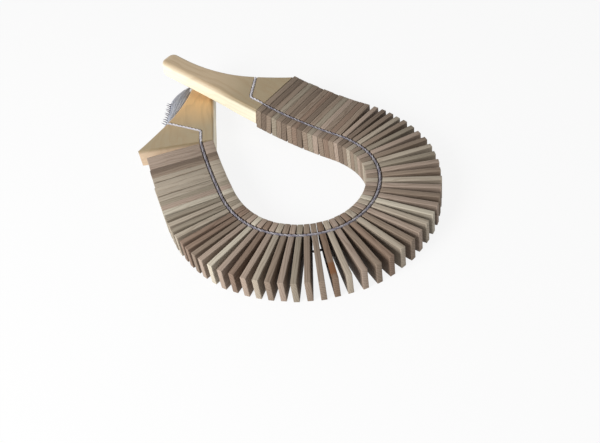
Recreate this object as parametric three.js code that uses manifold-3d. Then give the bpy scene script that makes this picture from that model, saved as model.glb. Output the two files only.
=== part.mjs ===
// A slat clapper: thin wooden slats strung side by side on one cord between two wooden handles.
// It lies on a table, fanned round into a horseshoe, with one handle's grip across the other's.
// Millimetres, +Z up.

import * as THREE from 'three';
import { mergeVertices } from 'three/addons/utils/BufferGeometryUtils.js';
import Module from 'manifold-3d';

// ---- driving dimensions, in mm and degrees ----

// one slat stands on its long edge, with a notch for the cord in its top and bottom edges
const slatLength = 70;
const slatHeight = 24;
const slatThickness = 5.3;
const notchFromInnerEnd = 13;
const notchWidth = 4.2;
const notchDepth = 3.1;

// the slats packed tightly at the two ends were cut from thicker boards
const lowerPackedThickness = 6.5;
const upperPackedThickness = 6.1;

// play between neighbours at their inner ends
const seatGap = 0.3;

// the cord
const cordDiameter = 2.6;
const cordSides = 8;

// a handle: straight inner side, hollow flare from the base to a narrow grip on the outer side; the
// two were cut by hand, and the lower one's flare is fuller
const handleLength = 134;
const handleThickness = 20;
const handleGripWidth = 20.5;
const lowerBaseWidth = 78.8;
const lowerFlareLength = 136;
const lowerFlarePower = 1.85;
const upperBaseWidth = 66.5;
const upperFlareLength = 113;
const upperFlarePower = 2.1;
const baseEdgeRadius = 1.2;
const gripEdgeRadius = 4;
const sharpEdgeLength = 14;
const softEdgeLength = 60;
const tipLength = 9;
const tipWidth = 4;
const tipThickness = 6;

// the cord's way over a handle: along the slats' line, then out to the flare
const lowerCordTurn = 18.7;
const lowerCordEdge = 41;
const upperCordTurn = 17.3;
const upperCordEdge = 32;
const cordDipFromBase = 9.6;
const cordBendRadius = 2.4;
const channelRelief = 1.2;

// the frayed ends of the cord, a bundle that lies along the lower handle's flared side and is widest
// past its middle
const frayLength = 66;
const frayWidth = 17;
const frayHeight = 9;
const frayEndWidth = 5.5;
const frayEndHeight = 4.5;
const frayLean = 1.7;
const fraySideGap = 0.5;

// packed slats are made in blocks, joined inside by a short web
const lowerBlocks = [3, 3, 3, 4];
const upperBlocks = [3, 3, 3, 3, 3];
const webLength = 16;
const webHeight = 8;

// how far each pair is open at rest: next to the lower handle, between its blocks, and round the fan,
// where every four slats in turn are open by one of these
const lowerHandleOpening = 10.9;
const lowerBlockOpening = 1.5;
const slatsPerOpening = 4;
const fanOpenings = [2.8, 3.7, 5.1, 4.6, 5.1, 6.4, 5.5, 5.3, 5.4, 5.1, 3.5];
const fanEndOpening = 4.4;
const upperHandleOpening = 0.3;

// the upper end of the row rises at each block, so that its handle passes over the other
const upperRise = 2.8;
const upperHandleRise = 0.4;

// ---- how finely the round shapes are faceted ----

const cornerSteps = 4;
const handleStations = 13;
const tipStations = 5;
const handleCordSteps = 56;
const rowCordSteps = 78;
const fraySides = 10;
const frayStations = 10;

// ---- colours ----

const slatColours = [0x9a8478, 0x84705f, 0xa89886, 0x8f7b70, 0x75604f];
const handleColour = 0xd9bd86;
const cordColour = 0xd8d8de;

const degrees = Math.PI / 180;
const quarterTurn = Math.PI / 2;
const cordRadius = cordDiameter / 2;
const topCordHeight = slatHeight - notchDepth + seatGap + cordRadius;
const bottomCordHeight = slatHeight - topCordHeight;
const handleFloor = slatHeight - handleThickness;
const cordOffEdge = cordRadius + seatGap - notchDepth;

// the two handles; side is +1 where the grip runs along +Y of the handle's frame, -1 along -Y
const lowerHandle = {
  side: -1,
  baseWidth: lowerBaseWidth,
  flareLength: lowerFlareLength,
  flarePower: lowerFlarePower,
  cordTurn: lowerCordTurn,
  cordEdge: lowerCordEdge,
};
const upperHandle = {
  side: 1,
  baseWidth: upperBaseWidth,
  flareLength: upperFlareLength,
  flarePower: upperFlarePower,
  cordTurn: upperCordTurn,
  cordEdge: upperCordEdge,
};

const wasm = await Module();
wasm.setup();

// ---- solids ----

function toSolid(geometry) {
  const bare = geometry.clone();
  bare.deleteAttribute('normal');
  bare.deleteAttribute('uv');
  const merged = mergeVertices(bare, 1e-4);
  return new wasm.Manifold(new wasm.Mesh({
    numProp: 3,
    vertProperties: new Float32Array(merged.attributes.position.array),
    triVerts: new Uint32Array(merged.index.array),
  }));
}

function toGeometry(solid) {
  const mesh = solid.getMesh();
  const geometry = new THREE.BufferGeometry();
  geometry.setAttribute('position', new THREE.BufferAttribute(mesh.vertProperties, 3));
  geometry.setIndex(new THREE.BufferAttribute(mesh.triVerts, 1));
  return geometry;
}

function box(length, width, height, x, y, z, turn = 0) {
  const geometry = new THREE.BoxGeometry(length, width, height);
  geometry.rotateZ(turn);
  geometry.translate(x, y, z);
  return toSolid(geometry);
}

// a closed skin over rings of points, each ring with the same number of points
function skin(rings) {
  const count = rings[0].length;
  const points = rings.flat();
  const faces = [];
  for (let r = 0; r + 1 < rings.length; r++) {
    for (let k = 0; k < count; k++) {
      const a = r * count + k;
      const b = r * count + (k + 1) % count;
      faces.push(a, b, b + count, a, b + count, a + count);
    }
  }
  const last = (rings.length - 1) * count;
  for (let k = 1; k + 1 < count; k++) {
    faces.push(0, k + 1, k);
    faces.push(last, last + k, last + k + 1);
  }
  const geometry = new THREE.BufferGeometry();
  const places = points.flatMap((point) => point.toArray());
  geometry.setAttribute('position', new THREE.Float32BufferAttribute(places, 3));
  geometry.setIndex(faces);
  return geometry;
}

// ---- the slats ----

// the side of a slat: x runs from its inner end to its outer end, y up its height
function slatOutline() {
  const near = notchFromInnerEnd - notchWidth / 2;
  const far = notchFromInnerEnd + notchWidth / 2;
  const outline = new THREE.Shape();
  outline.moveTo(0, 0);
  outline.lineTo(near, 0);
  outline.lineTo(near, notchDepth);
  outline.lineTo(far, notchDepth);
  outline.lineTo(far, 0);
  outline.lineTo(slatLength, 0);
  outline.lineTo(slatLength, slatHeight);
  outline.lineTo(far, slatHeight);
  outline.lineTo(far, slatHeight - notchDepth);
  outline.lineTo(near, slatHeight - notchDepth);
  outline.lineTo(near, slatHeight);
  outline.lineTo(0, slatHeight);
  outline.closePath();
  return outline;
}

// a slat in its own frame, past a count of others: the hinge line at the inner end is the Z axis, and
// the row runs along +Y
function slatGeometry(thickness, count = 0) {
  const board = { depth: thickness, bevelEnabled: false };
  const geometry = new THREE.ExtrudeGeometry(slatOutline(), board);
  geometry.rotateX(quarterTurn);
  geometry.translate(0, seatGap / 2 + thickness + count * (thickness + seatGap), 0);
  return geometry;
}

function blockGeometry(thickness, count) {
  const pitch = thickness + seatGap;
  const web = box(
    webLength, (count - 1) * pitch, webHeight,
    slatLength / 2, (count * pitch) / 2, slatHeight / 2,
  );
  let block = web;
  for (let k = 0; k < count; k++) {
    block = block.add(toSolid(slatGeometry(thickness, k)));
  }
  return toGeometry(block);
}

// ---- the handles ----

// distance of the flared side from the straight side, at a distance from the base
function flareWidth(handle, fromBase) {
  const left = Math.max(0, 1 - fromBase / handle.flareLength);
  return handleGripWidth + (handle.baseWidth - handleGripWidth) * left ** handle.flarePower;
}

function edgeRadius(fromBase) {
  const share = THREE.MathUtils.smoothstep(fromBase, sharpEdgeLength, softEdgeLength);
  return THREE.MathUtils.lerp(baseEdgeRadius, gripEdgeRadius, share);
}

// a rounded rectangle across the handle
function handleRing(handle, fromBase) {
  const tipShare = Math.max(0, (fromBase - handleLength + tipLength) / tipLength);
  const fullness = Math.sqrt(Math.max(0, 1 - tipShare ** 2));
  const fullWidth = flareWidth(handle, fromBase);
  const width = THREE.MathUtils.lerp(tipWidth, fullWidth, fullness);
  const height = THREE.MathUtils.lerp(tipThickness, handleThickness, fullness);
  const middleX = fullWidth / 2;
  const middleZ = slatHeight - handleThickness / 2;
  const flatShare = 0.08;
  const radius = Math.min(edgeRadius(fromBase), (1 - flatShare) * Math.min(width, height) / 2);
  const ring = [];
  for (let corner = 0; corner < 4; corner++) {
    const signX = corner === 0 || corner === 3 ? 1 : -1;
    const signZ = corner < 2 ? 1 : -1;
    for (let step = 0; step <= cornerSteps; step++) {
      const angle = (corner + step / cornerSteps) * quarterTurn;
      const x = middleX + signX * (width / 2 - radius) + radius * Math.cos(angle);
      const z = middleZ + signZ * (height / 2 - radius) + radius * Math.sin(angle);
      ring.push(new THREE.Vector3(x, handle.side * (seatGap / 2 + fromBase), z));
    }
  }
  return handle.side > 0 ? ring.reverse() : ring;
}

function handleBlank(handle) {
  const rings = [];
  for (let k = 0; k < handleStations; k++) {
    rings.push(handleRing(handle, (handleLength - tipLength) * k / handleStations));
  }
  for (let k = 0; k <= tipStations; k++) {
    const share = Math.sin(quarterTurn * k / tipStations);
    rings.push(handleRing(handle, handleLength - tipLength * (1 - share)));
  }
  return toSolid(skin(rings));
}

// corners of the cord's way over a handle's top, in the handle's frame
function cordCorners(handle) {
  const edge = flareWidth(handle, handle.cordEdge) + cordOffEdge;
  return {
    base: new THREE.Vector2(notchFromInnerEnd, handle.side * seatGap),
    turn: new THREE.Vector2(notchFromInnerEnd, handle.side * handle.cordTurn),
    edge: new THREE.Vector2(edge, handle.side * handle.cordEdge),
  };
}

// a straight channel for the cord, from one corner to another and a little past both
function channel(from, to, floor, ceiling, past) {
  const along = to.clone().sub(from);
  const length = along.length() + 2 * past;
  const middle = from.clone().add(to).multiplyScalar(0.5);
  return box(
    length, notchWidth, ceiling - floor,
    middle.x, middle.y, (ceiling + floor) / 2, along.angle(),
  );
}

// the handle with the cord's channel in its top, its flared side and its underside; the channel is
// deeper by the flared side, where the cord bends
function handleGeometry(handle) {
  const { base, turn, edge } = cordCorners(handle);
  const outward = edge.clone().sub(turn).normalize();
  const outside = edge.clone().addScaledVector(outward, 2 * notchWidth);
  const sideStart = edge.clone().addScaledVector(outward, -cordRadius - seatGap);
  const bendStart = edge.clone().addScaledVector(outward, -cordRadius - cordBendRadius);
  const half = notchWidth / 2;
  const above = slatHeight + notchDepth;
  const below = handleFloor - notchDepth;
  const topFloor = slatHeight - notchDepth;
  const bottomCeiling = handleFloor + notchDepth;
  return toGeometry(handleBlank(handle)
    .subtract(channel(base, turn, topFloor, above, half))
    .subtract(channel(turn, outside, topFloor, above, half))
    .subtract(channel(bendStart, outside, topFloor - channelRelief, above, 0))
    .subtract(channel(sideStart, outside, below, above, 0))
    .subtract(channel(bendStart, outside, below, bottomCeiling + channelRelief, 0))
    .subtract(channel(turn, outside, below, bottomCeiling, half))
    .subtract(channel(base, turn, below, bottomCeiling, half)));
}

// ---- the cord ----

function cordSection() {
  const section = new THREE.Shape();
  for (let k = 0; k < cordSides; k++) {
    const angle = (k + 0.5) * 2 * Math.PI / cordSides;
    const x = cordRadius * Math.cos(angle);
    const y = cordRadius * Math.sin(angle);
    if (k === 0) {
      section.moveTo(x, y);
    } else {
      section.lineTo(x, y);
    }
  }
  section.closePath();
  return section;
}

function cordAlong(path, steps) {
  return new THREE.ExtrudeGeometry(cordSection(), { steps, extrudePath: path, bevelEnabled: false });
}

// straight lines through the corners, with each bend rounded
function roundedPath(corners, radius) {
  const path = new THREE.CurvePath();
  let start = corners[0];
  for (let k = 1; k + 1 < corners.length; k++) {
    const corner = corners[k];
    const before = corner.clone().sub(corners[k - 1]).setLength(radius);
    const after = corners[k + 1].clone().sub(corner).setLength(radius);
    const enter = corner.clone().sub(before);
    const leave = corner.clone().add(after);
    path.add(new THREE.LineCurve3(start, enter));
    path.add(new THREE.QuadraticBezierCurve3(enter, corner, leave));
    start = leave;
  }
  path.add(new THREE.LineCurve3(start, corners[corners.length - 1]));
  return path;
}

// over the handle's top, down its flared side and back underneath
function handleCordGeometry(handle) {
  const { base, turn, edge } = cordCorners(handle);
  const low = handleFloor - cordOffEdge;
  const path = roundedPath([
    new THREE.Vector3(base.x, base.y, topCordHeight),
    new THREE.Vector3(turn.x, turn.y, topCordHeight),
    new THREE.Vector3(edge.x, edge.y, topCordHeight),
    new THREE.Vector3(edge.x, edge.y, low),
    new THREE.Vector3(turn.x, turn.y, low),
    new THREE.Vector3(notchFromInnerEnd, handle.side * cordDipFromBase, low),
    new THREE.Vector3(base.x, base.y, bottomCordHeight),
  ], cordBendRadius);
  return cordAlong(path, handleCordSteps);
}

// the cord through the slats' notches, from the first slat's near face to the last slat's far face
function rowCordGeometry(slatPlaces, height) {
  const points = slatPlaces.map(({ frame, thickness }) => (
    new THREE.Vector3(notchFromInnerEnd, (seatGap + thickness) / 2, height).applyMatrix4(frame)
  ));
  const start = slatPlaces[0];
  const end = slatPlaces[slatPlaces.length - 1];
  const first = new THREE.Vector3(notchFromInnerEnd, seatGap / 2, height);
  const last = new THREE.Vector3(notchFromInnerEnd, seatGap / 2 + end.thickness, height);
  points[0] = first.applyMatrix4(start.frame);
  points[points.length - 1] = last.applyMatrix4(end.frame);
  return cordAlong(new THREE.CatmullRomCurve3(points), rowCordSteps);
}

// the frayed ends, a flattened bundle that starts beside the cord, thin at both ends
function frayedEndsGeometry() {
  const start = lowerHandle.cordEdge + cordRadius + seatGap;
  const rings = [];
  for (let r = 0; r <= frayStations; r++) {
    const share = r / frayStations;
    const fromBase = start + share * frayLength;
    const fullness = Math.sin(Math.PI * share ** frayLean);
    const width = THREE.MathUtils.lerp(frayEndWidth, frayWidth, fullness);
    const height = THREE.MathUtils.lerp(frayEndHeight, frayHeight, fullness);
    const middleX = flareWidth(lowerHandle, fromBase) + fraySideGap + width / 2;
    const middleZ = slatHeight - frayHeight / 2;
    const ring = [];
    for (let k = 0; k < fraySides; k++) {
      const angle = k * 2 * Math.PI / fraySides;
      const x = middleX + width / 2 * Math.cos(angle);
      const z = middleZ + height / 2 * Math.sin(angle);
      ring.push(new THREE.Vector3(x, -fromBase, z));
    }
    rings.push(ring);
  }
  return skin(rings);
}

// ---- the row ----

const clapper = new THREE.Group();
clapper.name = 'slat_clapper';

function material(colour, roughness = 0.7) {
  return new THREE.MeshStandardMaterial({ color: colour, roughness, metalness: 0 });
}

function place(name, geometry, look, frame) {
  geometry.computeVertexNormals();
  const mesh = new THREE.Mesh(geometry, look);
  mesh.name = name;
  mesh.applyMatrix4(frame);
  clapper.add(mesh);
}

const handleLook = material(handleColour, 0.5);
const cordLook = material(cordColour, 0.85);
const slatLooks = slatColours.map((colour) => material(colour));

// neighbours differ in tone, as slats cut from different boards do
function slatLook(number) {
  return slatLooks[(number * 7 + (number % 3)) % slatLooks.length];
}

function twoDigits(number) {
  return String(number).padStart(2, '0');
}

// the pieces in their order along the row; each one's opening and rise are those of the pair that it
// makes with the next piece
const row = [{
  name: 'lower_handle', handle: lowerHandle, slats: 0, opening: lowerHandleOpening, rise: 0,
}];
for (const [k, slats] of lowerBlocks.entries()) {
  const last = k + 1 === lowerBlocks.length;
  const opening = last ? fanOpenings[0] : lowerBlockOpening;
  row.push({ slats, thickness: lowerPackedThickness, opening, rise: 0 });
}
const firstOfFan = row.length;
const fanSlats = fanOpenings.length * slatsPerOpening;
for (let k = 0; k < fanSlats; k++) {
  const opening = fanOpenings[Math.floor((k + 1) / slatsPerOpening)] ?? fanEndOpening;
  row.push({ slats: 1, thickness: slatThickness, opening, rise: 0 });
}
for (const [k, slats] of upperBlocks.entries()) {
  const last = k + 1 === upperBlocks.length;
  const opening = last ? upperHandleOpening : 0;
  const rise = last ? upperHandleRise : upperRise;
  row.push({ slats, thickness: upperPackedThickness, opening, rise });
}
row.push({ name: 'upper_handle', handle: upperHandle, slats: 0, opening: 0, rise: 0 });

// the step from one piece's frame to the next one's: past its slats, then open about the hinge line,
// then up about the top edges, which stay together
function stepPast({ slats, thickness = 0, opening, rise }) {
  return new THREE.Matrix4().makeTranslation(0, slats * (thickness + seatGap), slatHeight)
    .multiply(new THREE.Matrix4().makeRotationZ(opening * degrees))
    .multiply(new THREE.Matrix4().makeRotationX(rise * degrees))
    .multiply(new THREE.Matrix4().makeTranslation(0, 0, -slatHeight));
}

// the fan's first slat stands level on the table, turned so that the lower handle's grip runs along +Y
const turned = row.slice(0, firstOfFan).reduce((sum, { opening }) => sum + opening, 0);
row[firstOfFan].frame = new THREE.Matrix4().makeRotationZ((180 + turned) * degrees);
for (let k = firstOfFan + 1; k < row.length; k++) {
  row[k].frame = row[k - 1].frame.clone().multiply(stepPast(row[k - 1]));
}
for (let k = firstOfFan - 1; k >= 0; k--) {
  row[k].frame = row[k + 1].frame.clone().multiply(stepPast(row[k]).invert());
}

const slatPlaces = [];
for (const { name, handle, slats, thickness, frame } of row) {
  const first = slatPlaces.length + 1;
  for (let k = 0; k < slats; k++) {
    const past = new THREE.Matrix4().makeTranslation(0, k * (thickness + seatGap), 0);
    slatPlaces.push({ frame: frame.clone().multiply(past), thickness });
  }
  const look = slatLook(first);
  if (handle) {
    place(name, handleGeometry(handle), handleLook, frame);
    place(`${name}_cord`, handleCordGeometry(handle), cordLook, frame);
  } else if (slats === 1) {
    place(`slat_${twoDigits(first)}`, slatGeometry(thickness), look, frame);
  } else {
    const blockName = `slats_${twoDigits(first)}_${twoDigits(slatPlaces.length)}`;
    place(blockName, blockGeometry(thickness, slats), look, frame);
  }
}

place('frayed_ends', frayedEndsGeometry(), cordLook, row[0].frame);
place('top_cord', rowCordGeometry(slatPlaces, topCordHeight), cordLook, new THREE.Matrix4());
place('bottom_cord', rowCordGeometry(slatPlaces, bottomCordHeight), cordLook, new THREE.Matrix4());

// the origin is under the middle of the whole, on the table
clapper.updateMatrixWorld(true);
const around = new THREE.Box3().setFromObject(clapper, true);
const middle = around.getCenter(new THREE.Vector3());
clapper.position.set(-middle.x, -middle.y, -around.min.z);
clapper.updateMatrixWorld(true);

export default clapper;
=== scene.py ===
import bpy
import bmesh
import math
import random
from mathutils import Matrix, Vector


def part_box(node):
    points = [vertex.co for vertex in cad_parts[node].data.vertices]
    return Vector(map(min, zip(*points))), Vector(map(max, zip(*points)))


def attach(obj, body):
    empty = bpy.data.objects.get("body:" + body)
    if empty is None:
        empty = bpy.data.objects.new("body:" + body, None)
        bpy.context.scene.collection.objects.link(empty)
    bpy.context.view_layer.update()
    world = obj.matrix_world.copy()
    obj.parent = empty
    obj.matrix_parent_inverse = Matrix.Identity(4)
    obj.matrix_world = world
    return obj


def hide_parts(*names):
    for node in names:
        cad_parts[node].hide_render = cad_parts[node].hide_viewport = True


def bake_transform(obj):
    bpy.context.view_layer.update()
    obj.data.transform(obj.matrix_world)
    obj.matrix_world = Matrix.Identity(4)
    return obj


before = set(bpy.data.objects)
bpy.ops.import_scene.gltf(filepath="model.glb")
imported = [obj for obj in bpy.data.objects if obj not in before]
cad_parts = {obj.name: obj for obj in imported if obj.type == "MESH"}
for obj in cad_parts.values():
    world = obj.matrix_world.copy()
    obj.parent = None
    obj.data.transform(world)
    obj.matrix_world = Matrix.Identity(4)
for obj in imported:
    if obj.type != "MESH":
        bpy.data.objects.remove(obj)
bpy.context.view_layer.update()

mm = 0.001
random.seed(72)


camera = {
    "place": (29.45, -588.49, 489.74),  # mm
    "pitch": 43.62,                     # degrees down from level
    "yaw": 2.24,                        # degrees about +Z
    "roll": -10.16,                     # degrees about the line of sight
    "focalPixels": 757,
    "photoWidth": 600,                  # pixels
    "filmWidth": 36,                    # mm
    "nearest": 0.01,                    # m
    "farthest": 20,
}


def makeCamera():
    data = bpy.data.cameras.new("camera")
    data.sensor_width = camera["filmWidth"]
    data.lens = camera["focalPixels"] * camera["filmWidth"] / camera["photoWidth"]
    data.clip_start = camera["nearest"]
    data.clip_end = camera["farthest"]
    turn = Matrix.Rotation(math.radians(camera["yaw"]), 4, "Z")
    tilt = Matrix.Rotation(math.radians(90 - camera["pitch"]), 4, "X")
    roll = Matrix.Rotation(math.radians(camera["roll"]), 4, "Z")
    made = bpy.data.objects.new("camera", data)
    made.matrix_world = Matrix.Translation(Vector(camera["place"]) * mm) @ turn @ tilt @ roll
    bpy.context.scene.collection.objects.link(made)
    bpy.context.scene.camera = made


# lengths are in mm and angles in degrees from here on
slat = {
    "length": 70,
    "height": 24,
    "thickness": 5.3,
    "lowerPackedThickness": 6.5,
    "upperPackedThickness": 6.1,
    "notchFromInnerEnd": 13,
    "notchWidth": 4.2,
    "notchDepth": 3.1,
    "seatGap": 0.3,
    "edgeRound": 0.3,
    "edgeRoundSteps": 2,
    "smoothAngle": 50,      # below which two faces are shaded as one
    "shortBy": 0.9,         # most that an outer end falls short of full length
    "innerShortBy": 0.15,
    "lowBy": 0.3,           # most that a top edge falls short of full height
    "thinBy": 0.12,         # most that a slat falls short of full thickness
}

row = {
    "lowerBlocks": (3, 3, 3, 4),
    "upperBlocks": (3, 3, 3, 3, 3),
    "lowerHandleOpening": 10.9,
    "lowerBlockOpening": 1.5,
    "slatsPerOpening": 4,
    "fanOpenings": (2.8, 3.7, 5.1, 4.6, 5.1, 6.4, 5.5, 5.3, 5.4, 5.1, 3.5),
    "fanEndOpening": 4.4,
    "upperHandleOpening": 0.3,
    "upperRise": 2.8,
    "upperHandleRise": 0.4,
}

cord = {
    "diameter": 2.6,
    "strands": 3,
    "strandRadius": 0.63,
    "strandSides": 8,
    "twistLength": 13,      # of one whole turn of a strand
    "handleLift": 0.75,     # how far it stands out of the handles' grooves
    "liftLength": 5,        # over which it comes out of the groove
    "handleSwell": 0.16,    # how much thicker it is where nothing presses on it
    "step": 0.8,
    "dipFromBase": 9.6,
    "bendRadius": 2.4,
    "bendSteps": 8,
    "knotDrop": 0.45,       # share of the way down the flared side where the ends are tied
}
topCordHeight = slat["height"] - slat["notchDepth"] + slat["seatGap"] + cord["diameter"] / 2
bottomCordHeight = slat["height"] - topCordHeight

handle = {
    "length": 134,
    "thickness": 20,
    "gripWidth": 20.5,
    "baseEdgeRadius": 1.2,
    "gripEdgeRadius": 4,
    "edgeShare": 0.46,      # most of a side that one rounded edge takes up
    "sharpEdgeLength": 14,
    "softEdgeLength": 60,
    "tipLength": 9,
    "tipWidth": 4,
    "tipThickness": 6,
    "stations": 90,
    "tipStations": 14,
    "cornerSteps": 9,
    "grooveHalfWidth": 1.75,
    "grooveSteps": 10,
    "grooveStation": 0.9,
    "cutAbove": 5,          # how far the groove's cutter stands out of the wood
    "cutPast": 4,           # and how far it runs on past the base
    "edgeRound": 0.45,
    "edgeRoundSteps": 3,
    "edgeAngle": 40,        # above which an edge is rounded
    "smoothAngle": 35,
    "lower": {
        "side": -1, "baseWidth": 78.8, "flareLength": 136, "flarePower": 1.85,
        "cordTurn": 18.7, "cordEdge": 41,
    },
    "upper": {
        "side": 1, "baseWidth": 66.5, "flareLength": 113, "flarePower": 2.1,
        "cordTurn": 17.3, "cordEdge": 32,
    },
}
handleFloor = slat["height"] - handle["thickness"]


def turned(angle, axis):
    return Matrix.Rotation(math.radians(angle), 4, axis)


def moved(x, y, z):
    return Matrix.Translation((x, y, z))


def entryOf(body, slats, thickness, opening, rise):
    return {"body": body, "slats": slats, "thickness": thickness, "opening": opening, "rise": rise}


def blockName(first, slats):
    return f"slats_{first:02d}_{first + slats - 1:02d}"


# handles, blocks and single slats in order, each with how it opens and rises toward the next
def rowEntries():
    found = [entryOf("lower_handle", 0, 0, row["lowerHandleOpening"], 0)]
    openings = row["fanOpenings"] + (row["fanEndOpening"],)
    first = 1
    for block, slats in enumerate(row["lowerBlocks"], 1):
        last = block == len(row["lowerBlocks"])
        opening = openings[0] if last else row["lowerBlockOpening"]
        found.append(entryOf(blockName(first, slats), slats, slat["lowerPackedThickness"], opening, 0))
        first += slats
    for number in range(1, 1 + len(row["fanOpenings"]) * row["slatsPerOpening"]):
        opening = openings[number // row["slatsPerOpening"]]
        found.append(entryOf(f"slat_{first:02d}", 1, slat["thickness"], opening, 0))
        first += 1
    for block, slats in enumerate(row["upperBlocks"], 1):
        last = block == len(row["upperBlocks"])
        opening = row["upperHandleOpening"] if last else 0
        rise = row["upperHandleRise"] if last else row["upperRise"]
        found.append(entryOf(blockName(first, slats), slats, slat["upperPackedThickness"], opening, rise))
        first += slats
    found.append(entryOf("upper_handle", 0, 0, 0, 0))
    return found


# from one entry's frame to the next one's: past its slats, open about the inner ends, up about the tops
def stepPast(entry):
    past = moved(0, entry["slats"] * (entry["thickness"] + slat["seatGap"]), slat["height"])
    rise = turned(entry["rise"], "X")
    return past @ turned(entry["opening"], "Z") @ rise @ moved(0, 0, -slat["height"])


def placeRow():
    firstOfFan = 1 + len(row["lowerBlocks"])
    turn = sum(entry["opening"] for entry in entries[:firstOfFan])
    entries[firstOfFan]["frame"] = turned(180 + turn, "Z")
    for number in range(firstOfFan + 1, len(entries)):
        entries[number]["frame"] = entries[number - 1]["frame"] @ stepPast(entries[number - 1])
    for number in range(firstOfFan - 1, -1, -1):
        entries[number]["frame"] = entries[number + 1]["frame"] @ stepPast(entries[number]).inverted()
    # the fan's first slat shows where the whole row lies
    found = boxOf(entries[firstOfFan])
    low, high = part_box(entries[firstOfFan]["body"])
    shift = (low + high) / (2 * mm) - (found[0] + found[1]) / 2
    for entry in entries:
        entry["frame"] = Matrix.Translation(shift) @ entry["frame"]


def boxOf(entry):
    depth = entry["slats"] * (entry["thickness"] + slat["seatGap"]) - slat["seatGap"] / 2
    corners = []
    for x in (0, slat["length"]):
        for y in (slat["seatGap"] / 2, depth):
            for z in (0, slat["height"]):
                corners.append(entry["frame"] @ Vector((x, y, z)))
    low = Vector([min(corner[axis] for corner in corners) for axis in range(3)])
    high = Vector([max(corner[axis] for corner in corners) for axis in range(3)])
    return low, high


def checkRow():
    worst = 0
    for entry in entries[1:-1]:
        for mine, theirs in zip(boxOf(entry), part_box(entry["body"])):
            worst = max(worst, (mine - theirs / mm).length)
    print(f"row: {len(entries)} entries, at most {worst:.4f} mm from the frame")


entries = rowEntries()
placeRow()
checkRow()
lowerFrame = entries[0]["frame"]
upperFrame = entries[-1]["frame"]


def slatPlaces():
    places = []
    for entry in entries:
        pitch = entry["thickness"] + slat["seatGap"]
        for number in range(entry["slats"]):
            places.append({"frame": entry["frame"] @ moved(0, number * pitch, 0),
                           "thickness": entry["thickness"], "body": entry["body"]})
    return places


# a socket with arithmetic: each operation adds its node to the same tree
class Flow:
    def __init__(self, shades, socket):
        self.shades = shades
        self.socket = socket

    def math(self, operation, *values):
        return self.shades.math(operation, *values)

    def __add__(self, other):
        return self.math("ADD", self, other)

    def __radd__(self, other):
        return self.math("ADD", other, self)

    def __sub__(self, other):
        return self.math("SUBTRACT", self, other)

    def __rsub__(self, other):
        return self.math("SUBTRACT", other, self)

    def __mul__(self, other):
        return self.math("MULTIPLY", self, other)

    def __rmul__(self, other):
        return self.math("MULTIPLY", other, self)

    def __truediv__(self, other):
        return self.math("DIVIDE", self, other)


# one material's node tree
class Shades:
    end = "ShaderNodeOutputMaterial"

    def __init__(self, name):
        self.material = bpy.data.materials.new(name)
        self.start(self.material)

    def start(self, owner):
        owner.use_nodes = True
        self.tree = owner.node_tree
        self.tree.nodes.clear()

    def add(self, kind, settings=None, sockets=None, out=0):
        node = self.tree.nodes.new(kind)
        for name, value in (settings or {}).items():
            setattr(node, name, value)
        for name, value in (sockets or {}).items():
            if isinstance(value, Flow):
                self.tree.links.new(value.socket, node.inputs[name])
            else:
                node.inputs[name].default_value = value
        return Flow(self, node.outputs[out]) if node.outputs else None

    def math(self, operation, *values):
        return self.add("ShaderNodeMath", {"operation": operation}, dict(enumerate(values)))

    def attribute(self, name):
        return self.add("ShaderNodeAttribute", {"attribute_name": name}, out="Vector")

    def split(self, vector):
        node = self.add("ShaderNodeSeparateXYZ", None, {0: vector}).socket.node
        return [Flow(self, output) for output in node.outputs]

    def join(self, x, y, z):
        return self.add("ShaderNodeCombineXYZ", None, {0: x, 1: y, 2: z})

    def noise(self, vector, detail, roughness=0.5):
        sockets = {"Vector": vector, "Scale": 1.0, "Detail": detail, "Roughness": roughness}
        return self.add("ShaderNodeTexNoise", {"noise_dimensions": "3D"}, sockets, out="Fac")

    # 0 below low, 1 above high, smooth between
    def step(self, value, low, high):
        settings = {"interpolation_type": "SMOOTHSTEP"}
        sockets = {"Value": value, "From Min": low, "From Max": high}
        return self.add("ShaderNodeMapRange", settings, sockets)

    def mix(self, factor, one, other):
        return self.add("ShaderNodeMix", {"data_type": "RGBA"}, {0: factor, 6: one, 7: other}, out=2)

    def brighten(self, colour, amount):
        grey = self.join(amount, amount, amount)
        return self.add("ShaderNodeVectorMath", {"operation": "MULTIPLY"}, {0: colour, 1: grey})

    def bump(self, height, distance, strength):
        sockets = {"Height": height, "Distance": distance * mm, "Strength": strength}
        return self.add("ShaderNodeBump", None, sockets)

    # 1 for rays of each kind and 0 for all others
    def rays(self, *kinds):
        outputs = self.add("ShaderNodeLightPath").socket.node.outputs
        return [Flow(self, outputs[f"Is {kind} Ray"]) for kind in kinds]

    def finish(self, colour, roughness, normal=None, sheen=0.0, coat=0.0, specular=0.5):
        sockets = {"Base Color": colour, "Roughness": roughness, "Sheen Weight": sheen,
                   "Coat Weight": coat, "Coat Roughness": 0.3, "Specular IOR Level": specular}
        if normal is not None:
            sockets["Normal"] = normal
        self.output(self.add("ShaderNodeBsdfPrincipled", None, sockets))
        return self.material

    def output(self, surface):
        self.add(self.end, None, {"Surface": surface})


# the same for the world round the object
class WorldShades(Shades):
    end = "ShaderNodeOutputWorld"

    def __init__(self, world):
        self.start(world)


# a colour as it is seen on a screen, 0 to 255, as the shader wants it
def seen(red, green, blue):
    def linear(value):
        share = value / 255
        if share <= 0.04045:
            return share / 12.92
        return ((share + 0.055) / 1.055) ** 2.4
    return (linear(red), linear(green), linear(blue), 1)


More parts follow.
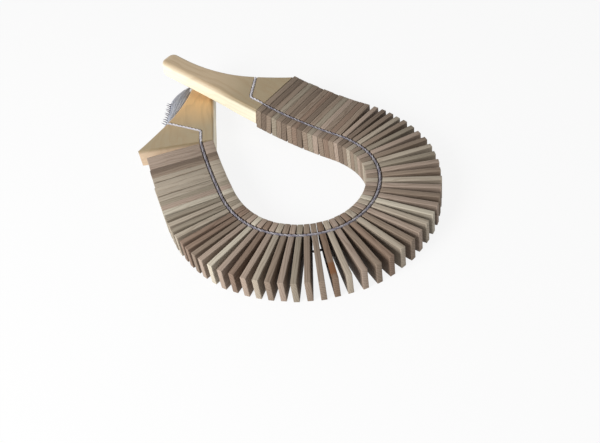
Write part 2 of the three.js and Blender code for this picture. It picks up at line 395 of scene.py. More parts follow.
slatFinish = {
    "seedShift": 50,        # how far apart in the noise the slats may lie
    "light": (0.93, 1.07),  # of one slat beside the others
    "ringTilt": (0.25, 0.95),
    "ringWidth": 1.7,       # between growth rings
    "ringWander": 4,
    "latewood": (0.35, 0.9),        # where in a ring it sets in
    "poreLength": 2.6,
    "poreFrom": (0.62, 0.74),
    "poreShare": 0.35,
    "darkFrom": (0.66, 1.2),
    "darkShare": 0.8,
    "paleFrom": (0.6, 0.88),
    "paleShare": 0.7,
    "edgeWear": (0.15, 0.55),       # from the edge
    "wearShare": 0.45,
    "sideShadeShare": 0.42,      # share of painted shade on the flat sides, where the neighbouring slats shade them
    # the colour of that painted shade
    "grimeAndShade": (74, 58, 46),
    "paintedEndLight": 1.06,       # painted light: the end faces are painted a little paler
    "roughness": 0.62,
    "relief": 0.07,
    # the slot that each tone belongs to, then its pale, main and dark colours
    "tones": {
        "p": ("slat_tone_1", (190, 173, 158), (168, 150, 135), (128, 108, 93)),
        "m": ("slat_tone_2", (168, 152, 135), (146, 129, 113), (106, 88, 73)),
        "l": ("slat_tone_3", (198, 188, 171), (177, 165, 148), (138, 122, 105)),
        "g": ("slat_tone_4", (178, 168, 150), (155, 144, 127), (115, 101, 85)),
        "d": ("slat_tone_5", (146, 130, 114), (122, 106, 92), (84, 68, 56)),
        "k": ("slat_tone_5", (156, 134, 114), (130, 108, 90), (90, 68, 52)),
        "r": ("slat_tone_5", (162, 140, 123), (140, 119, 103), (98, 77, 63)),
        "w": ("slat_tone_3", (220, 213, 197), (201, 192, 174), (163, 150, 131)),
    },
}

# a branch knot in the top edge of the slat with the letter k, near its outer end
branchKnot = {
    "place": 58,
    "reach": 9,
    "depth": 6,
    "rim": (0.7, 1.25),
    "share": 0.75,
    "tone": (118, 72, 34),
}


def slatWood(letter):
    look = slatFinish
    slot, paleTone, mainTone, darkTone = look["tones"][letter]
    wood = Shades(f"slat_wood_{letter}")
    along, across, up = wood.split(wood.attribute("boardPlace"))
    seed, light, tilt = wood.split(wood.attribute("boardLot"))
    shift = seed * look["seedShift"]
    wander = wood.noise(wood.join(along * 0.02 + shift, across * 0.06, up * 0.06), detail=3)
    lie = across * tilt + up * (1 - tilt)
    ring = wood.math("FRACT", lie / look["ringWidth"] + wander * look["ringWander"] + shift)
    latewood = wood.step(ring, *look["latewood"]) * (1 - wood.step(ring, 0.93, 1.0))
    fibre = wood.noise(wood.join(along * 0.05 + shift, across * 1.5, up * 1.5), detail=3, roughness=0.55)
    streak = wood.noise(wood.join(along * 0.018, across * 0.75 + shift, up * 0.75), detail=2)
    pore = wood.noise(wood.join(along / look["poreLength"] + shift, across * 5, up * 5), detail=1)
    pores = wood.step(pore, *look["poreFrom"])
    dark = wood.step(latewood * 0.3 + fibre * 0.75 + streak * 0.6, *look["darkFrom"])
    pale = wood.step(streak * 0.7 + fibre * 0.5 - latewood * 0.15, *look["paleFrom"])
    colour = wood.mix(dark * look["darkShare"], seen(*mainTone), seen(*darkTone))
    colour = wood.mix(pale * look["paleShare"], colour, seen(*paleTone))
    colour = wood.mix(pores * look["poreShare"], colour, seen(*darkTone))
    fromEnds = wood.math("MINIMUM", along, slat["length"] - along)
    fromSides = wood.math("MINIMUM", across, slat["thickness"] - across)
    fromEdges = wood.math("MINIMUM", up, slat["height"] - up)
    rough = wood.noise(wood.join(along * 0.5, across * 0.9 + shift, up * 0.9), detail=3)
    wear = edgeWear(wood, fromEnds, fromSides, fromEdges, rough)
    colour = wood.mix(wear * look["wearShare"], colour, seen(*paleTone))
    onEnd = 1 - wood.step(fromEnds, 0.05, 0.3)
    # painted shade: the flat sides are darkened away from their ends and edges, where the neighbouring slats
    # shade them
    inside = wood.step(wood.math("MINIMUM", fromEnds, fromEdges), 0.4, 1.4)
    onSide = (1 - wood.step(fromSides, 0.1, 0.3)) * inside
    colour = wood.mix(onSide * look["sideShadeShare"], colour, seen(*look["grimeAndShade"]))
    if letter == "k":
        colour = withBranchKnot(wood, colour, along, up, fibre)
    # painted light: the end faces are brightened
    colour = wood.brighten(colour, light * (1 - onEnd * (1 - look["paintedEndLight"])))
    roughness = look["roughness"] + fibre * 0.2
    normal = wood.bump(fibre * 0.5 - pores * 0.6 - latewood * 0.25, look["relief"], 0.6)
    return slot, wood.finish(colour, roughness, normal, specular=0.35)


# the distance to the nearest edge is the middle one of the distances to the three pairs of faces
def edgeWear(wood, fromEnds, fromSides, fromEdges, rough):
    lower = wood.math("MINIMUM", fromEnds, fromSides)
    upper = wood.math("MAXIMUM", fromEnds, fromSides)
    toEdge = wood.math("MAXIMUM", lower, wood.math("MINIMUM", upper, fromEdges))
    return 1 - wood.step(toEdge + rough * 0.5, *slatFinish["edgeWear"])


def withBranchKnot(wood, colour, along, up, fibre):
    aside = (along - branchKnot["place"]) / branchKnot["reach"]
    below = (slat["height"] - up) / branchKnot["depth"]
    far = wood.math("SQRT", aside * aside + below * below) + fibre * 0.4
    shows = (1 - wood.step(far, *branchKnot["rim"])) * branchKnot["share"]
    return wood.mix(shows, colour, seen(*branchKnot["tone"]))


handleFinish = {
    "top": (200, 178, 146),
    "topGold": (214, 174, 120),
    "base": (168, 151, 120),
    # painted light: the sides and underside are painted paler than the top, as lit faces
    "side": (255, 247, 222),
    "end": (222, 196, 166),
    "darkLine": (160, 130, 92),
    "line": (0.3, 0.85),        # where in a ring it sets in
    "lineShare": 0.22,
    "fibreShare": 0.3,
    "poreFrom": (0.64, 0.76),
    "poreShare": 0.22,
    "gripFrom": (26, 88),       # where the base's tone gives way to the grip's
    "sideBelow": (18, 23.2),    # where the side's tone gives way to the top's
    "roughness": 0.42,
    "relief": 0.08,
}


def handleWood(name, topTone):
    look = handleFinish
    wood = Shades(name)
    across, fromBase, up = wood.split(wood.attribute("handlePlace"))
    wander = wood.noise(wood.join(across * 0.03, fromBase * 0.012, up * 0.05), detail=2)
    lie = across * 0.22 + up * 0.5
    ring = wood.math("FRACT", lie * 0.35 + wander * 6)
    line = wood.step(ring, *look["line"]) * (1 - wood.step(ring, 0.9, 1.0))
    fibre = wood.noise(wood.join(across * 1.6, fromBase * 0.05, up * 1.6), detail=5, roughness=0.6)
    cloud = wood.noise(wood.join(across * 0.05, fromBase * 0.03, up * 0.05), detail=2)
    pore = wood.noise(wood.join(across * 4, fromBase * 0.35, up * 4), detail=1)
    pores = wood.step(pore, *look["poreFrom"])
    toGrip = wood.step(fromBase + cloud * 24, *look["gripFrom"])
    top = wood.mix(toGrip, seen(*look["base"]), seen(*look[topTone]))
    # painted light: below the top the handle takes the paler side tone
    onSide = 1 - wood.step(up, *look["sideBelow"])
    onEnd = 1 - wood.step(fromBase, 0.2, 1)
    side = wood.mix(onEnd, seen(*look["side"]), seen(*look["end"]))
    colour = wood.mix(onSide, top, side)
    streaks = line * look["lineShare"] + wood.step(fibre, 0.45, 0.8) * look["fibreShare"]
    colour = wood.mix(streaks * (1 - onSide * 0.6), colour, seen(*look["darkLine"]))
    colour = wood.mix(pores * look["poreShare"], colour, seen(*look["darkLine"]))
    roughness = look["roughness"] + fibre * 0.16
    normal = wood.bump(fibre * 0.5 - pores * 0.5 - line * 0.2, look["relief"], 0.6)
    return wood.finish(colour, roughness, normal, coat=0.12)


# the cord is whiter on the handles and greyer where the slats hold it
cordFinish = {
    # the darkest tone of each is both patchy dirt and the painted shade in the ply creases
    "handle": {"pale": (250, 246, 248), "dark": (224, 220, 228), "grimeAndShade": (190, 185, 192)},
    "row": {"pale": (204, 200, 206), "dark": (150, 145, 160), "grimeAndShade": (104, 97, 102)},
    "plies": 4,             # on each half of a strand
    "plyTurns": 0.55,       # plies passed per mm along it
    "plyShade": 0.3,
    "fibreShade": 0.15,
    "grimeShare": 0.55,
    "relief": 0.12,
}


def cordYarn(part):
    look = cordFinish
    tones = look[part]
    yarn = Shades(f"{part}_cord_yarn")
    along, around, strand = yarn.split(yarn.attribute("strandPlace"))
    plies = yarn.math("SINE", (around * look["plies"] + along * look["plyTurns"]) * (2 * math.pi))
    fibre = yarn.noise(yarn.join(along * 1.2, around * 9, strand * 7), detail=4, roughness=0.7)
    grimeAndShade = yarn.noise(yarn.join(along * 0.09, strand * 3, 0.5), detail=3)
    colour = yarn.mix(strand, seen(*tones["pale"]), seen(*tones["dark"]))
    colour = yarn.mix(yarn.step(grimeAndShade, 0.5, 0.8) * look["grimeShare"], colour, seen(*tones["grimeAndShade"]))
    # painted shade in the creases between the plies, with darker fibres
    shade = (0.5 - plies * 0.5) * look["plyShade"] + fibre * look["fibreShade"]
    colour = yarn.mix(shade, colour, seen(*tones["grimeAndShade"]))
    normal = yarn.bump(plies * 0.5 + fibre, look["relief"], 1.0)
    return yarn.finish(colour, 0.8, normal, sheen=0.2, specular=0.3)


frayFinish = {
    "pale": (214, 217, 226),
    "blue": (178, 182, 194),
    "dark": (62, 56, 80),
}


def frayThread():
    thread = Shades("fray_thread")
    along, tone, spike = thread.split(thread.attribute("threadPlace"))
    shine = thread.noise(thread.join(along * 0.8, tone * 90, 0), detail=2)
    colour = thread.mix(tone, seen(*frayFinish["pale"]), seen(*frayFinish["blue"]))
    colour = thread.mix(spike, colour, seen(*frayFinish["dark"]))
    colour = thread.mix(thread.step(shine, 0.5, 0.8) * 0.25, colour, seen(*frayFinish["dark"]))
    return thread.finish(colour, 0.65, sheen=0.25, specular=0.4)


# points, faces and one vector of the finish's own coordinates for each point
class Mesh:
    def __init__(self, attribute):
        self.attribute = attribute
        self.points = []
        self.faces = []
        self.marks = []

    # a closed skin over rings of (point, mark) pairs
    def skin(self, rings):
        start = len(self.points)
        count = len(rings[0])
        for ring in rings:
            for point, mark in ring:
                self.points.append(point)
                self.marks.append(mark)
        last = start + (len(rings) - 1) * count
        for first in range(start, last, count):
            for side in range(count):
                here = first + side
                beside = first + (side + 1) % count
                self.faces.append((here, beside, beside + count, here + count))
        self.faces.append(tuple(reversed(range(start, start + count))))
        self.faces.append(tuple(range(last, last + count)))

    def toObject(self, name, material):
        data = bpy.data.meshes.new(name)
        data.from_pydata([point * mm for point in self.points], [], self.faces)
        markMesh(data, self.attribute, self.marks)
        data.polygons.foreach_set("use_smooth", [True] * len(data.polygons))
        return linked(name, data, material)


def markMesh(data, name, marks):
    attribute = data.attributes.new(name, "FLOAT_VECTOR", "POINT")
    attribute.data.foreach_set("vector", [value for mark in marks for value in mark])


def linked(name, data, material):
    data.materials.append(material)
    made = bpy.data.objects.new(name, data)
    bpy.context.scene.collection.objects.link(made)
    return made


def applyModifiers(made):
    bpy.context.view_layer.update()
    ready = made.evaluated_get(bpy.context.evaluated_depsgraph_get())
    data = bpy.data.meshes.new_from_object(ready)
    made.modifiers.clear()
    made.data = data


# the tone of each slat from the lower handle to the upper one: packed, fanned, packed
slatOrder = (
    "pppdmlllllgpw"
    "glglrrmpwprplmpgmmklpmrlmplwpmplmpglmpgmlmdp"
    "mrmpgmdrmdmgmdm"
)


def boardMesh(name, length, innerEnd, height, thickness, start):
    near = slat["notchFromInnerEnd"] - slat["notchWidth"] / 2
    far = slat["notchFromInnerEnd"] + slat["notchWidth"] / 2
    depth = slat["notchDepth"]
    top = slat["height"] - depth
    outline = [
        (innerEnd, 0), (near, 0), (near, depth), (far, depth), (far, 0), (length, 0),
        (length, height), (far, height), (far, top), (near, top), (near, height), (innerEnd, height),
    ]
    solid = bmesh.new()
    corners = [solid.verts.new((x, start, z)) for x, z in outline]
    face = solid.faces.new(corners)
    grown = bmesh.ops.extrude_face_region(solid, geom=[face])
    moving = [part for part in grown["geom"] if isinstance(part, bmesh.types.BMVert)]
    bmesh.ops.translate(solid, verts=moving, vec=(0, thickness, 0))
    bmesh.ops.recalc_face_normals(solid, faces=solid.faces)
    bmesh.ops.bevel(
        solid, geom=list(solid.edges), offset=slat["edgeRound"], offset_type="OFFSET",
        segments=slat["edgeRoundSteps"], profile=0.5, affect="EDGES", clamp_overlap=True,
    )
    data = bpy.data.meshes.new(name)
    solid.to_mesh(data)
    solid.free()
    return data


def makeBoard(number, place, looks):
    name = f"board_{number:02d}"
    length = slat["length"] - random.uniform(0, slat["shortBy"])
    innerEnd = random.uniform(0, slat["innerShortBy"])
    height = slat["height"] - random.uniform(0, slat["lowBy"])
    thickness = place["thickness"] - random.uniform(0, slat["thinBy"])
    start = slat["seatGap"] / 2 + random.uniform(0, place["thickness"] - thickness)
    data = boardMesh(name, length, innerEnd, height, thickness, start)
    lot = (random.random(), random.uniform(*slatFinish["light"]), random.uniform(*slatFinish["ringTilt"]))
    # the finish sees every slat at its full size
    marks = []
    for vertex in data.vertices:
        x, y, z = vertex.co
        marks.append((
            (x - innerEnd) / (length - innerEnd) * slat["length"],
            (y - start) / thickness * slat["thickness"],
            z / height * slat["height"],
        ))
    markMesh(data, "boardPlace", marks)
    markMesh(data, "boardLot", [lot] * len(marks))
    data.transform(Matrix.Scale(mm, 4) @ place["frame"])
    smoothByAngle(data, slat["smoothAngle"])
    slot, material = looks[slatOrder[number - 1]]
    board = linked(name, data, material)
    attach(board, place["body"])
    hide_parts(place["body"])


def smoothByAngle(data, limit):
    shaped = bmesh.new()
    shaped.from_mesh(data)
    for edge in shaped.edges:
        edge.smooth = len(edge.link_faces) == 2 and edge.calc_face_angle() < math.radians(limit)
    for face in shaped.faces:
        face.smooth = True
    shaped.to_mesh(data)
    shaped.free()


def makeBoards():
    looks = {letter: slatWood(letter) for letter in slatFinish["tones"]}
    places = slatPlaces()
    for number, place in enumerate(places, 1):
        makeBoard(number, place, looks)
    print("slats:", len(places), "in", len(looks), "finishes")


def smoothShare(value, low, high):
    share = min(1, max(0, (value - low) / (high - low)))
    return share * share * (3 - 2 * share)


def between(one, other, share):
    return one + (other - one) * share


def flareWidth(kind, fromBase):
    left = max(0, 1 - fromBase / kind["flareLength"])
    return handle["gripWidth"] + (kind["baseWidth"] - handle["gripWidth"]) * left ** kind["flarePower"]


def handleRing(kind, fromBase):
    tipShare = max(0, (fromBase - handle["length"] + handle["tipLength"]) / handle["tipLength"])
    fullness = math.sqrt(max(0, 1 - tipShare ** 2))
    fullWidth = flareWidth(kind, fromBase)
    width = between(handle["tipWidth"], fullWidth, fullness)
    height = between(handle["tipThickness"], handle["thickness"], fullness)
    soft = smoothShare(fromBase, handle["sharpEdgeLength"], handle["softEdgeLength"])
    radius = between(handle["baseEdgeRadius"], handle["gripEdgeRadius"], soft)
    radius = min(radius, handle["edgeShare"] * min(width, height))
    middleZ = slat["height"] - handle["thickness"] / 2
    y = kind["side"] * (slat["seatGap"] / 2 + fromBase)
    ring = []
    for corner in range(4):
        signX = 1 if corner in (0, 3) else -1
        signZ = 1 if corner < 2 else -1
        for step in range(handle["cornerSteps"] + 1):
            angle = (corner + step / handle["cornerSteps"]) * math.pi / 2
            x = fullWidth / 2 + signX * (width / 2 - radius) + radius * math.cos(angle)
            z = middleZ + signZ * (height / 2 - radius) + radius * math.sin(angle)
            ring.append((Vector((x, y, z)), (x, fromBase, z)))
    if kind["side"] > 0:
        ring.reverse()
    return ring


def handleBlank(name, kind, material):
    blank = Mesh("handlePlace")
    rings = []
    body = handle["length"] - handle["tipLength"]
    for station in range(handle["stations"]):
        rings.append(handleRing(kind, body * station / handle["stations"]))
    for station in range(handle["tipStations"] + 1):
        share = math.sin(math.pi / 2 * station / handle["tipStations"])
        rings.append(handleRing(kind, body + handle["tipLength"] * share))
    blank.skin(rings)
    return blank.toObject(name, material)


# corners of the cord's way over a handle's top, round its flared side and back underneath
def cordCorners(kind):
    side = kind["side"]
    offEdge = cord["diameter"] / 2 + slat["seatGap"] - slat["notchDepth"]
    low = handleFloor - offEdge
    edge = flareWidth(kind, kind["cordEdge"]) + offEdge
    across = slat["notchFromInnerEnd"]
    return [
        Vector((across, side * slat["seatGap"], topCordHeight)),
        Vector((across, side * kind["cordTurn"], topCordHeight)),
        Vector((edge, side * kind["cordEdge"], topCordHeight)),
        Vector((edge, side * kind["cordEdge"], low)),
        Vector((across, side * kind["cordTurn"], low)),
        Vector((across, side * cord["dipFromBase"], low)),
        Vector((across, side * slat["seatGap"], bottomCordHeight)),
    ]


# straight lines through the corners, each bend rounded, as points a step apart
def roundedPath(corners, step):
    line = [corners[0]]
    for before, corner, after in zip(corners, corners[1:], corners[2:]):
        enter = corner + (before - corner).normalized() * cord["bendRadius"]
        leave = corner + (after - corner).normalized() * cord["bendRadius"]
        for part in range(cord["bendSteps"] + 1):
            share = part / cord["bendSteps"]
            line.append(enter.lerp(corner, share).lerp(corner.lerp(leave, share), share))
    line.append(corners[-1])
    return evenly(line, step)


# how far along a line each of its points lies
def lengthsAlong(line):
    lengths = [0]
    for one, other in zip(line, line[1:]):
        lengths.append(lengths[-1] + (other - one).length)
    return lengths


def evenly(line, step):
    lengths = lengthsAlong(line)
    count = max(2, round(lengths[-1] / step))
    points = []
    piece = 0
    for number in range(count + 1):
        want = lengths[-1] * number / count
        while piece + 2 < len(lengths) and lengths[piece + 1] < want:
            piece += 1
        part = lengths[piece + 1] - lengths[piece]
        share = (want - lengths[piece]) / part if part > 0 else 0
        points.append(line[piece].lerp(line[piece + 1], min(1, max(0, share))))
    return points


# at one point of a path: its direction, and the outward and sideways directions square to it
def frameAt(points, number, outward):
    ahead = points[min(number + 1, len(points) - 1)]
    behind = points[max(number - 1, 0)]
    direction = (ahead - behind).normalized()
    outward = (outward - direction * outward.dot(direction)).normalized()
    return points[number], direction, outward, direction.cross(outward)


# frames with the outward direction carried along the path
def carriedFrames(points, outward):
    frames = []
    for number in range(len(points)):
        frames.append(frameAt(points, number, outward))
        outward = frames[-1][2]
    return frames


# frames with the outward direction given at each point
def framesWith(points, outs):
    return [frameAt(points, number, outs[number]) for number in range(len(points))]


def grooveCutter(name, kind):
    corners = cordCorners(kind)
    side = kind["side"]
    past = Vector((0, side * -handle["cutPast"], 0))
    under = Vector((slat["notchFromInnerEnd"], side * slat["seatGap"], corners[4].z))
    points = roundedPath([corners[0] + past] + corners[1:5] + [under + past], handle["grooveStation"])
    half = handle["grooveHalfWidth"]
    profile = [(half, handle["cutAbove"]), (-half, handle["cutAbove"])]
    for step in range(handle["grooveSteps"] + 1):
        angle = math.pi + math.pi * step / handle["grooveSteps"]
        profile.append((half * math.cos(angle), half * math.sin(angle)))
    cutter = Mesh("handlePlace")
    rings = []
    for point, _, outward, sideways in carriedFrames(points, Vector((0, 0, 1))):
        ring = []
        for across, off in profile:
            spot = point + sideways * across + outward * off
            ring.append((spot, (spot.x, abs(spot.y), spot.z)))
        rings.append(ring)
    cutter.skin(rings)
    return cutter.toObject(name, bpy.data.materials.new(name))


def faceOutward(data):
    shaped = bmesh.new()
    shaped.from_mesh(data)
    bmesh.ops.recalc_face_normals(shaped, faces=shaped.faces)
    shaped.to_mesh(data)
    shaped.free()


def cutGroove(made, kind):
    cutter = grooveCutter(made.name + "_cutter", kind)
    faceOutward(made.data)
    faceOutward(cutter.data)
    cut = made.modifiers.new("groove", "BOOLEAN")
    cut.operation = "DIFFERENCE"
    cut.solver = "EXACT"
    cut.use_self = True
    cut.object = cutter
    applyModifiers(made)
    bpy.data.objects.remove(cutter)


def softenEdges(made):
    soften = made.modifiers.new("edges", "BEVEL")
    soften.width = handle["edgeRound"] * mm
    soften.segments = handle["edgeRoundSteps"]
    soften.limit_method = "ANGLE"
    soften.angle_limit = math.radians(handle["edgeAngle"])
    applyModifiers(made)


# the cut faces take the handle's own material and coordinates
def dressCut(data):
    while len(data.materials) > 1:
        data.materials.pop()
    for polygon in data.polygons:
        polygon.material_index = 0
    marks = []
    for vertex in data.vertices:
        x, y, z = vertex.co / mm
        marks.append((x, abs(y), z))
    if "handlePlace" in data.attributes:
        data.attributes.remove(data.attributes["handlePlace"])
    markMesh(data, "handlePlace", marks)


# from a place in the row, where a mesh is made, to where it lies in the world
def toWorld(data, place):
    data.transform(Matrix.Scale(mm, 4) @ place @ Matrix.Scale(1 / mm, 4))


def makeHandle(name, node, kind, place, material):
    made = handleBlank(name, kind, material)
    cutGroove(made, kind)
    softenEdges(made)
    dressCut(made.data)
    smoothByAngle(made.data, handle["smoothAngle"])
    even = made.modifiers.new("even", "WEIGHTED_NORMAL")
    even.keep_sharp = True
    applyModifiers(made)
    toWorld(made.data, place)
    print(name, "faces", len(made.data.polygons))
    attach(made, node)
    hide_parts(node)


def makeHandles():
    golden = handleWood("lower_wood", "topGold")
    makeHandle("lower_grip", "lower_handle", handle["lower"], lowerFrame, golden)
    brown = handleWood("upper_wood", "top")
    makeHandle("upper_grip", "upper_handle", handle["upper"], upperFrame, brown)


# the strands round a centre line, the cord's length so far and the arm of the first strand at the end
# phase is the turn of the first strand at the start
def strandRings(frames, phase, start, lifts=None):
    rings = [[] for _ in range(cord["strands"])]
    turnRadius = cord["diameter"] / 2 - cord["strandRadius"]
    lifts = lifts or [0] * len(frames)
    sides = cord["strandSides"]
    length = start
    before = frames[0][0]
    for (point, direction, outward, sideways), lift in zip(frames, lifts):
        length += (point - before).length
        before = point
        radius = cord["strandRadius"] + cord["handleSwell"] * lift
        turn = phase + 2 * math.pi * (length - start) / cord["twistLength"]
        for strand in range(cord["strands"]):
            angle = turn + strand * 2 * math.pi / cord["strands"]
            arm = outward * math.cos(angle) + sideways * math.sin(angle)
            middle = point + arm * turnRadius + outward * cord["handleLift"] * lift
            tone = strand / (cord["strands"] - 1)
            ring = []
            for side in range(sides):
                around = 2 * math.pi * side / sides
                spot = arm * math.cos(around) + direction.cross(arm) * math.sin(around)
                share = abs(2 * side / sides - 1)
                ring.append((middle + spot * radius, (length, share, tone)))
            rings[strand].append(ring)
    return rings, length, outward * math.cos(turn) + sideways * math.sin(turn)


# 0 where a turn meets a row, 1 where it lies free on the handle
def turnLifts(frames, bothEnds):
    lengths = lengthsAlong([point for point, *_ in frames])
    lifts = []
    for length in lengths:
        away = min(length, lengths[-1] - length) if bothEnds else length
        lifts.append(smoothShare(away / cord["liftLength"], 0, 1))
    return lifts


def phaseOf(arm, frames):
    outward, sideways = frames[0][2:]
    return math.atan2(arm.dot(sideways), arm.dot(outward))


# points through the middles of the notches, from one handle's base to the other's
def runKnots(height):
    across = slat["notchFromInnerEnd"]
    gap = slat["seatGap"]
    knots = [lowerFrame @ Vector((across, -gap, height))]
    for place in slatPlaces():
        knots.append(place["frame"] @ Vector((across, (gap + place["thickness"]) / 2, height)))
    knots.append(upperFrame @ Vector((across, gap, height)))
    return knots


def upOf(place):
    return place.to_3x3() @ Vector((0, 0, 1))


# a smooth curve through the knots, at a share of the way from one to the next
def curvePoint(knots, number, share):
    before = knots[max(number - 1, 0)]
    one = knots[number]
    other = knots[number + 1]
    after = knots[min(number + 2, len(knots) - 1)]
    leave = (other - before) / 2
    arrive = (after - one) / 2
    ofOne = 2 * share ** 3 - 3 * share ** 2 + 1
    ofLeave = share ** 3 - 2 * share ** 2 + share
    ofOther = 3 * share ** 2 - 2 * share ** 3
    ofArrive = share ** 3 - share ** 2
    return one * ofOne + leave * ofLeave + other * ofOther + arrive * ofArrive


# the run's points and outward directions, and the place in them of each knot
def runPoints(height, sign):
    knots = runKnots(height)
    ups = [upOf(place) for place in [lowerFrame] + [place["frame"] for place in slatPlaces()] + [upperFrame]]
    points = []
    outs = []
    marks = []
    for number in range(len(knots) - 1):
        marks.append(len(points))
        steps = max(3, math.ceil((knots[number + 1] - knots[number]).length / cord["step"]))
        for step in range(steps):
            points.append(curvePoint(knots, number, step / steps))
            outs.append(ups[number].lerp(ups[number + 1], step / steps) * sign)
    marks.append(len(points))
    points.append(knots[-1])
    outs.append(ups[-1] * sign)
    return points, outs, marks


def addStrands(mesh, rings, first, last):
    for strand in rings:
        mesh.skin(strand[first:last + 1])


# where one piece of the cord ends and the next begins: at the handles' bases and the middle of each
# body's slats, given as knots
def cordBreaks():
    breaks = [("lower_handle", 0, 0, 0)]
    first = 1
    for entry in entries[1:-1]:
        last = first + entry["slats"] - 1
        breaks.append((entry["body"], (first + last) // 2, first, last))
        first = last + 1
    breaks.append(("upper_handle", first, first, first))
    return breaks


def makeCord(rowYarn, handleYarn):
    topPoints, topOuts, topMarks = runPoints(topCordHeight, 1)
    bottomPoints, bottomOuts, bottomMarks = runPoints(bottomCordHeight, -1)
    topFrames = framesWith(topPoints, topOuts)
    topRings, topLength, arm = strandRings(topFrames, 0, 0)
    # over the upper handle, and back along the bottom
    corners = [upperFrame @ corner for corner in cordCorners(handle["upper"])]
    over = carriedFrames(roundedPath(corners, cord["step"]), upOf(upperFrame))
    upperRings, length, arm = strandRings(over, phaseOf(arm, over), topLength, turnLifts(over, True))
    bottomFrames = framesWith(bottomPoints[::-1], bottomOuts[::-1])
    bottomRings, length, arm = strandRings(bottomFrames, phaseOf(arm, bottomFrames), length)
    # over the lower handle from both runs, to the knot on its flared side
    corners = [lowerFrame @ corner for corner in cordCorners(handle["lower"])]
    tied = corners[2].lerp(corners[3], cord["knotDrop"])
    up = upOf(lowerFrame)
    above = carriedFrames(roundedPath(corners[:3] + [tied], cord["step"]), up)
    phase = phaseOf(topFrames[0][2], above)
    aboveRings, aboveLength, _ = strandRings(above, phase, 0, turnLifts(above, False))
    below = carriedFrames(roundedPath(corners[:2:-1] + [tied], cord["step"]), up * -1)
    belowRings, length, _ = strandRings(below, phaseOf(arm, below), length, turnLifts(below, False))
    makeTurn("lower_turn", "lower_handle", (aboveRings, belowRings), handleYarn)
    makeTurn("upper_turn", "upper_handle", (upperRings,), handleYarn)
    places = [topPoints[mark] * mm for mark in topMarks]
    pieces = makeRuns((topRings, topMarks), (bottomRings, bottomMarks), rowYarn)
    print(f"cord: {length + aboveLength:.0f} mm from the knot round to the knot")
    print(f"cord: {topLength:.0f} mm of it in the top notches, {pieces} pieces and 2 turns in all")


# the two runs in pieces, the bottom one's rings in order from the upper handle back
def makeRuns(top, bottom, yarn):
    topRings, topMarks = top
    bottomRings, bottomMarks = bottom
    last = bottomMarks[-1]
    breaks = cordBreaks()
    for (bodyA, knotA, _, lastA), (bodyB, knotB, firstB, _) in zip(breaks, breaks[1:]):
        piece = Mesh("strandPlace")
        addStrands(piece, topRings, topMarks[knotA], topMarks[knotB])
        addStrands(piece, bottomRings, last - bottomMarks[knotB], last - bottomMarks[knotA])
        made = piece.toObject(f"cord_{knotA:02d}_{knotB:02d}", yarn)
        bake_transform(made)
        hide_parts("top_cord", "bottom_cord")
    return len(breaks) - 1


def makeTurn(name, body, runs, yarn):
    piece = Mesh("strandPlace")
    for rings in runs:
        addStrands(piece, rings, 0, len(rings[0]) - 1)
    made = piece.toObject(name, yarn)
    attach(made, body)
    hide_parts(body + "_cord")


fray = {
    "length": 66,
    "width": 17,
    "height": 9,
    "endWidth": 5.5,
    "endHeight": 4.5,
    "lean": 1.7,            # above 1 the bundle is widest past its middle
    "sideGap": 0.5,
    "spread": (-0.06, 0.2),     # shares of the length over which threads part from the knot
    "threads": 110,
    "threadSteps": 18,
    "threadEnd": (0.72, 0.97),
    "loops": 46,
    "loopSteps": 24,
    "threadRadius": 0.3,
    "threadSides": 5,
    "finishLength": 40,     # each thread counts this long in its finish
    "spikes": 11,
    "spikesFrom": 0.03,     # share of the length
    "spikesOver": 0.56,
    "spikeFoot": (0.86, 0.42),
    "spikeLength": 4.4,
    "spikeBack": (-4.2, -2.6),
    "spikeUp": (0.4, 1.4),
    "spikeRadius": 0.72,
    "spikeTaper": 0.7,
    "knotRadius": 2.3,
    "knotSteps": 48,
}


# a place in the bundle: share of its length, across and up from its middle, both -1 to 1
def bundlePoint(share, across, lift):
    kind = handle["lower"]
    fromBase = kind["cordEdge"] + cord["diameter"] / 2 + slat["seatGap"] + share * fray["length"]
    fullness = math.sin(math.pi * max(0, share) ** fray["lean"])
    width = between(fray["endWidth"], fray["width"], fullness)
    height = between(fray["endHeight"], fray["height"], fullness)
    x = flareWidth(kind, fromBase) + fray["sideGap"] + width / 2 * (1 + across)
    return Vector((x, -fromBase, slat["height"] - fray["height"] / 2 + lift * height / 2))


def threadTube(mesh, points, radius, tone, spike=0.0):
    rings = []
    frames = carriedFrames(points, Vector((0.1, 0.2, 1)))
    for number, (point, _, outward, sideways) in enumerate(frames):
        share = number / (len(points) - 1)
        thin = radius * (1 - fray["spikeTaper"] * share) if spike else radius
        ring = []
        for side in range(fray["threadSides"]):
            angle = 2 * math.pi * side / fray["threadSides"]
            spot = outward * math.cos(angle) + sideways * math.sin(angle)
            ring.append((point + spot * thin, (share * fray["finishLength"], tone, spike)))
        rings.append(ring)
    mesh.skin(rings)


def looseThread(mesh):
    across = random.uniform(-0.94, 0.94)
    lift = random.uniform(-0.94, 0.94) * math.sqrt(1 - across ** 2)
    end = random.uniform(*fray["threadEnd"])
    wave = random.uniform(0, 2 * math.pi)
    points = []
    for step in range(fray["threadSteps"] + 1):
        share = end * step / fray["threadSteps"]
        drawn = smoothShare(share, *fray["spread"])
        sway = 0.05 * math.sin(wave + share * 14)
        points.append(bundlePoint(share, (across + sway) * drawn, lift * drawn))
    threadTube(mesh, points, fray["threadRadius"], random.random())


# up one side, over in a bow and down the other
def loopThread(mesh):
    left = random.uniform(0.25, 0.97)
    right = random.uniform(-0.97, 0.1)
    lift = random.uniform(-0.2, 0.8) * math.sqrt(1 - max(abs(left), abs(right)) ** 2) + 0.1
    top = random.uniform(0.8, 1.0)
    low = random.uniform(0.12, 0.5)
    points = []
    for step in range(fray["loopSteps"] + 1):
        along = step / fray["loopSteps"]
        share = top - (top - low) * abs(2 * along - 1) ** 2.2
        points.append(bundlePoint(share, between(left, right, smoothShare(along, 0.1, 0.9)), lift))
    threadTube(mesh, points, fray["threadRadius"], random.random())


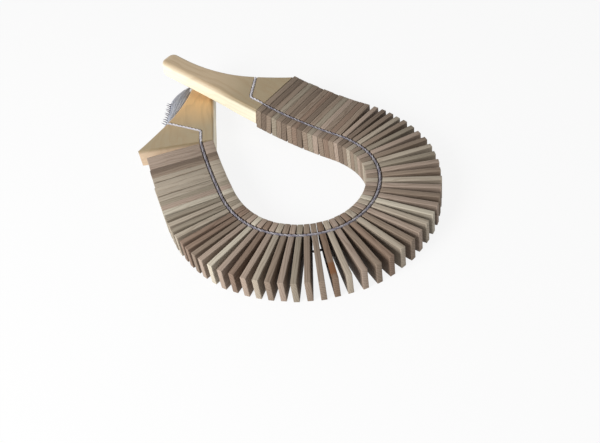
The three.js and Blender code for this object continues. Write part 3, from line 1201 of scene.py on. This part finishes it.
def spikeThread(mesh, share):
    drawn = smoothShare(share, *fray["spread"])
    across, lift = fray["spikeFoot"]
    foot = bundlePoint(share, across * drawn, lift * drawn)
    reach = fray["spikeLength"] * random.uniform(0.8, 1.15)
    tip = foot + Vector((reach, random.uniform(*fray["spikeBack"]), random.uniform(*fray["spikeUp"])))
    bend = foot.lerp(tip, 0.5) + Vector((0, random.uniform(0.2, 0.7), 0.4))
    threadTube(mesh, [foot, bend, tip], fray["spikeRadius"], random.uniform(0.6, 1), 1.0)


# the two cord ends are tied in a round knot on the flared side
def tieKnot(mesh, middle):
    points = []
    for step in range(fray["knotSteps"] + 1):
        turn = 2 * math.pi * step / fray["knotSteps"]
        points.append(middle + Vector((
            math.sin(turn) + 2 * math.sin(2 * turn),
            math.cos(turn) - 2 * math.cos(2 * turn),
            -1.6 * math.sin(3 * turn),
        )) * fray["knotRadius"] / 3)
    threadTube(mesh, points, cord["strandRadius"], 0.1)


def makeFray(material):
    mesh = Mesh("threadPlace")
    for _ in range(fray["threads"]):
        looseThread(mesh)
    for _ in range(fray["loops"]):
        loopThread(mesh)
    for number in range(fray["spikes"]):
        spikeThread(mesh, fray["spikesFrom"] + fray["spikesOver"] * number / fray["spikes"])
    tieKnot(mesh, bundlePoint(0.0, -0.35, 0.1))
    made = mesh.toObject("frayed_threads", material)
    toWorld(made.data, lowerFrame)
    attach(made, "lower_handle")
    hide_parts("frayed_ends")
    print("frayed ends:", fray["threads"] + fray["loops"], "threads,", fray["spikes"], "spikes and a knot")


studio = {
    "keyPower": 26,         # W
    "keySize": 0.9,         # m
    "keyDistance": 1.7,     # m
    "keyAzimuth": 218,      # from +X
    "keyElevation": 31,
    "ambient": 0.36,
    "floorShadow": 0.13,    # share of the floor that takes light and shadow
    "floorTone": (0.92, 0.92, 0.92, 1),
    "floorSize": 6,         # m
    "floorDrop": 0.1,       # below the slats
}
white = (1, 1, 1, 1)


def makeFloor():
    data = bpy.data.meshes.new("floor")
    half = studio["floorSize"] / 2
    below = -studio["floorDrop"] * mm
    corners = [(-half, -half, below), (half, -half, below), (half, half, below), (-half, half, below)]
    data.from_pydata(corners, [], [(0, 1, 2, 3)])
    paper = Shades("floor_paper")
    straight, glossy, through = paper.rays("Camera", "Glossy", "Transmission")
    shows = paper.math("MINIMUM", straight + glossy + through, 1.0) * (1 - studio["floorShadow"])
    lit = paper.add("ShaderNodeBsdfDiffuse", None, {"Color": studio["floorTone"]})
    plain = paper.add("ShaderNodeEmission", None, {"Color": white, "Strength": 1.0})
    paper.output(paper.add("ShaderNodeMixShader", None, {0: shows, 1: lit, 2: plain}))
    linked("floor", data, paper.material)


def makeWorld():
    world = bpy.data.worlds.new("studio")
    bpy.context.scene.world = world
    around = WorldShades(world)
    shows = around.math("MAXIMUM", *around.rays("Camera", "Glossy"))
    soft = around.add("ShaderNodeBackground", None, {"Color": white, "Strength": studio["ambient"]})
    plain = around.add("ShaderNodeBackground", None, {"Color": white, "Strength": 1.0})
    around.output(around.add("ShaderNodeMixShader", None, {0: shows, 1: soft, 2: plain}))


def makeKey():
    data = bpy.data.lights.new("key", "AREA")
    data.shape = "DISK"
    data.size = studio["keySize"]
    data.energy = studio["keyPower"]
    azimuth = math.radians(studio["keyAzimuth"])
    elevation = math.radians(studio["keyElevation"])
    toward = Vector((math.cos(azimuth) * math.cos(elevation),
                     math.sin(azimuth) * math.cos(elevation), math.sin(elevation)))
    made = bpy.data.objects.new("key", data)
    made.location = toward * studio["keyDistance"]
    made.rotation_euler = toward.to_track_quat("Z", "Y").to_euler()
    bpy.context.scene.collection.objects.link(made)


makeCamera()
makeBoards()
makeHandles()
makeCord(cordYarn("row"), cordYarn("handle"))
makeFray(frayThread())
makeFloor()
makeWorld()
makeKey()
bpy.context.scene.view_settings.view_transform = "Standard"
